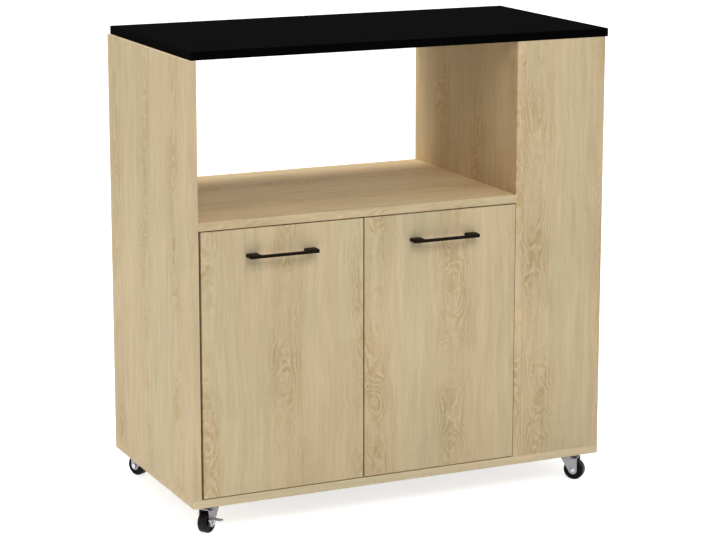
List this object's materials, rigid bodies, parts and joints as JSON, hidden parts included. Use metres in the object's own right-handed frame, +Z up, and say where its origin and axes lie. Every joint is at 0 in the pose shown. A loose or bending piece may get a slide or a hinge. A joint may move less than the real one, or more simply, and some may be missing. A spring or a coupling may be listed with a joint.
{
  "type": "kitchen cart",
  "caption": "Light oak kitchen cart on swivel casters with a dark worktop, an open oven bay, a two-door cupboard and an open side column.",
  "frame": {"origin": "on the floor, under the middle of the footprint", "axes": "+X to the right seen from the front, +Y to the back, +Z up"},
  "size_m": [0.8054, 0.432, 0.844],
  "materials": {
    "worktop_laminate": "matte black laminate",
    "oak_front": "light oak laminate, grain upright",
    "oak_side": "light oak laminate, grain upright",
    "oak_flat": "light oak laminate, grain across",
    "back_board": "light painted fibreboard",
    "hardwood": "raw beech",
    "zinc": "zinc-plated, satin",
    "bright_zinc": "zinc-plated, bright",
    "nickel": "nickel-plated",
    "dark_screw": "blackened steel",
    "handle_paint": "satin black-brown paint",
    "tyre_plastic": "matte black"
  },
  "bodies": {
    "carcass": {"worktop": "worktop_laminate", "left_side_panel": "oak_side", "partition_panel": "oak_side", "bottom_board": "oak_flat", "oven_shelf": "oak_flat", "end_front_panel": "oak_front", "end_back_panel": "oak_front", "end_shelf_lower": "oak_flat", "end_shelf_middle": "oak_flat", "end_shelf_upper": "oak_flat", "cupboard_back": "back_board", "cupboard_shelf": "oak_flat", "shelf_pins": "nickel", "cam_locks": "zinc", "cam_bolts": "bright_zinc", "wood_dowels": "hardwood", "base_screws": "zinc", "hinge_plates": "nickel", "hinge_arms": "nickel", "hinge_set_screws": "bright_zinc", "hinge_plate_screws": "bright_zinc", "caster_plates": "zinc", "caster_screws": "bright_zinc", "caster_balls": "bright_zinc", "caster_rivets": "zinc"},
    "door_left": {"door_left": "oak_front", "handle_left": "handle_paint", "handle_screws_left": "bright_zinc", "hinge_cups_left": "nickel", "cup_screws_left": "bright_zinc"},
    "inner_links_left": {"hinge_inner_links_left": "nickel"},
    "outer_links_left": {"hinge_outer_links_left": "nickel"},
    "door_right": {"door_right": "oak_front", "handle_right": "handle_paint", "handle_screws_right": "bright_zinc", "hinge_cups_right": "nickel", "cup_screws_right": "bright_zinc"},
    "inner_links_right": {"hinge_inner_links_right": "nickel"},
    "outer_links_right": {"hinge_outer_links_right": "nickel"},
    "caster_front_left": {"fork_front_left": "zinc", "axle_front_left": "bright_zinc"},
    "wheel_front_left": {"wheel_front_left": "tyre_plastic"},
    "brake_front_left": {"brake_front_left": "bright_zinc"},
    "caster_front_right": {"fork_front_right": "zinc", "axle_front_right": "bright_zinc"},
    "wheel_front_right": {"wheel_front_right": "tyre_plastic"},
    "caster_rear_left": {"fork_rear_left": "zinc", "axle_rear_left": "bright_zinc"},
    "wheel_rear_left": {"wheel_rear_left": "tyre_plastic"},
    "caster_rear_right": {"fork_rear_right": "zinc", "axle_rear_right": "bright_zinc"},
    "wheel_rear_right": {"wheel_rear_right": "tyre_plastic"},
    "brake_rear_right": {"brake_rear_right": "bright_zinc"}
  },
  "joints": [
    {"name": "door_left_swing", "type": "hinge", "parent": "carcass", "child": "door_left", "pos_m": [-0.38375, -0.194, 0.30275], "axis": [0, 0, -1], "range_deg": [0, 95]},
    {"name": "hinge_inner_links_left_swing", "type": "hinge", "parent": "carcass", "child": "inner_links_left", "pos_m": [-0.36875, -0.173, 0.30275], "axis": [0, 0, -1], "range_deg": [0, 95]},
    {"name": "hinge_outer_links_left_swing", "type": "hinge", "parent": "door_left", "child": "outer_links_left", "pos_m": [-0.35825, -0.1835, 0.30275], "axis": [0, 0, -1], "range_deg": [-95, 0]},
    {"name": "door_right_swing", "type": "hinge", "parent": "carcass", "child": "door_right", "pos_m": [0.21825, -0.194, 0.30275], "axis": [0, 0, 1], "range_deg": [0, 95]},
    {"name": "hinge_inner_links_right_swing", "type": "hinge", "parent": "carcass", "child": "inner_links_right", "pos_m": [0.20325, -0.173, 0.30275], "axis": [0, 0, 1], "range_deg": [0, 95]},
    {"name": "hinge_outer_links_right_swing", "type": "hinge", "parent": "door_right", "child": "outer_links_right", "pos_m": [0.19275, -0.1835, 0.30275], "axis": [0, 0, 1], "range_deg": [-95, 0]},
    {"name": "caster_front_left_swivel", "type": "hinge", "parent": "carcass", "child": "caster_front_left", "pos_m": [-0.35975, -0.161, 0.042], "axis": [0, 0, 1], "continuous": true},
    {"name": "wheel_front_left_spin", "type": "hinge", "parent": "caster_front_left", "child": "wheel_front_left", "pos_m": [-0.37013, -0.16882, 0.019], "axis": [0.6018, -0.7986, 0], "continuous": true},
    {"name": "brake_front_left_press", "type": "hinge", "parent": "caster_front_left", "child": "brake_front_left", "pos_m": [-0.37013, -0.16882, 0.019], "axis": [0.6018, -0.7986, 0], "range_deg": [-20, 0]},
    {"name": "caster_front_right_swivel", "type": "hinge", "parent": "carcass", "child": "caster_front_right", "pos_m": [0.35425, -0.161, 0.042], "axis": [0, 0, 1], "continuous": true},
    {"name": "wheel_front_right_spin", "type": "hinge", "parent": "caster_front_right", "child": "wheel_front_right", "pos_m": [0.36295, -0.17066, 0.019], "axis": [0.7431, 0.6691, 0], "continuous": true},
    {"name": "caster_rear_left_swivel", "type": "hinge", "parent": "carcass", "child": "caster_rear_left", "pos_m": [-0.35975, 0.183, 0.042], "axis": [0, 0, 1], "continuous": true},
    {"name": "wheel_rear_left_spin", "type": "hinge", "parent": "caster_rear_left", "child": "wheel_rear_left", "pos_m": [-0.36585, 0.19448, 0.019], "axis": [-0.8829, -0.4695, 0], "continuous": true},
    {"name": "caster_rear_right_swivel", "type": "hinge", "parent": "carcass", "child": "caster_rear_right", "pos_m": [0.35425, 0.183, 0.042], "axis": [0, 0, 1], "continuous": true},
    {"name": "wheel_rear_right_spin", "type": "hinge", "parent": "caster_rear_right", "child": "wheel_rear_right", "pos_m": [0.35199, 0.1702, 0.019], "axis": [0.9848, -0.1736, 0], "continuous": true},
    {"name": "brake_rear_right_press", "type": "hinge", "parent": "caster_rear_right", "child": "brake_rear_right", "pos_m": [0.35199, 0.1702, 0.019], "axis": [0.9848, -0.1736, 0], "range_deg": [-20, 0]}
  ],
  "couplings": [
    {"joint": "hinge_inner_links_left_swing", "follows": "door_left_swing", "ratio": 1},
    {"joint": "hinge_outer_links_left_swing", "follows": "door_left_swing", "ratio": -1},
    {"joint": "hinge_inner_links_right_swing", "follows": "door_right_swing", "ratio": 1},
    {"joint": "hinge_outer_links_right_swing", "follows": "door_right_swing", "ratio": -1}
  ]
}
